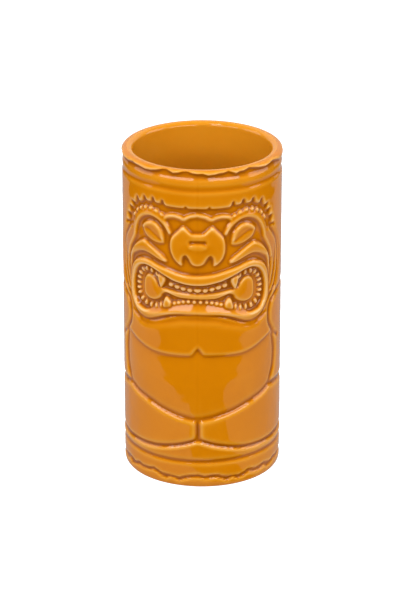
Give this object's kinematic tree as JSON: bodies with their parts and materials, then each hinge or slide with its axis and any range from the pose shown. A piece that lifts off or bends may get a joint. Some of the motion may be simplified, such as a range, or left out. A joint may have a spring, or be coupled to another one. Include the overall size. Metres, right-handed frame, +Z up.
{
  "type": "tiki mug",
  "caption": "Tall straight glazed ceramic mug, its wall carved with a squat figure whose wide-mouthed face fills the upper half.",
  "frame": {"origin": "centre of the foot, on the surface the mug stands on", "axes": "+Z up through the mouth; the carved face looks along -Y"},
  "size_m": [0.0766, 0.0768, 0.1625],
  "materials": {
    "clay": "matte",
    "outside_glaze": "gloss",
    "inside_glaze": "gloss",
    "underside_glaze": "gloss"
  },
  "bodies": {
    "root": {"clay_body": "clay", "outer_glaze": "outside_glaze", "inner_glaze": "inside_glaze", "base_glaze": "underside_glaze"}
  },
  "joints": []
}
